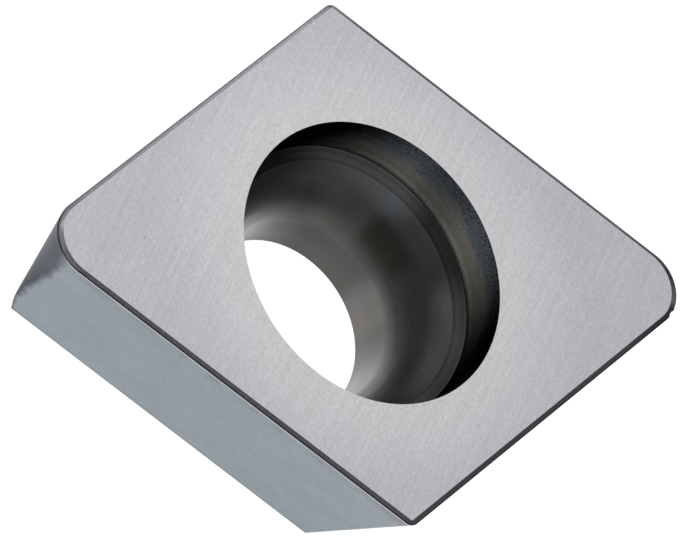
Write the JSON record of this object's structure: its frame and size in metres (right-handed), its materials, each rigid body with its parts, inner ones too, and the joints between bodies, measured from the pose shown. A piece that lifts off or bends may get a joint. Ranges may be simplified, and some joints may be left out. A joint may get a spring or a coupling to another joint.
{
  "type": "indexable cutting insert",
  "caption": "Rhombic carbide cutting insert with rounded noses, leaning flanks, a narrow land and a stepped, flared screw hole.",
  "frame": {"origin": "centre of the seat face, on the axis of the screw hole", "axes": "+Z out through the cutting face, +X along the long diagonal towards an acute cutting corner, +Y along the short diagonal"},
  "size_m": [0.0128, 0.0096, 0.0032],
  "materials": {
    "carbide": "ground"
  },
  "bodies": {
    "root": {"insert_body": "carbide"}
  },
  "joints": []
}
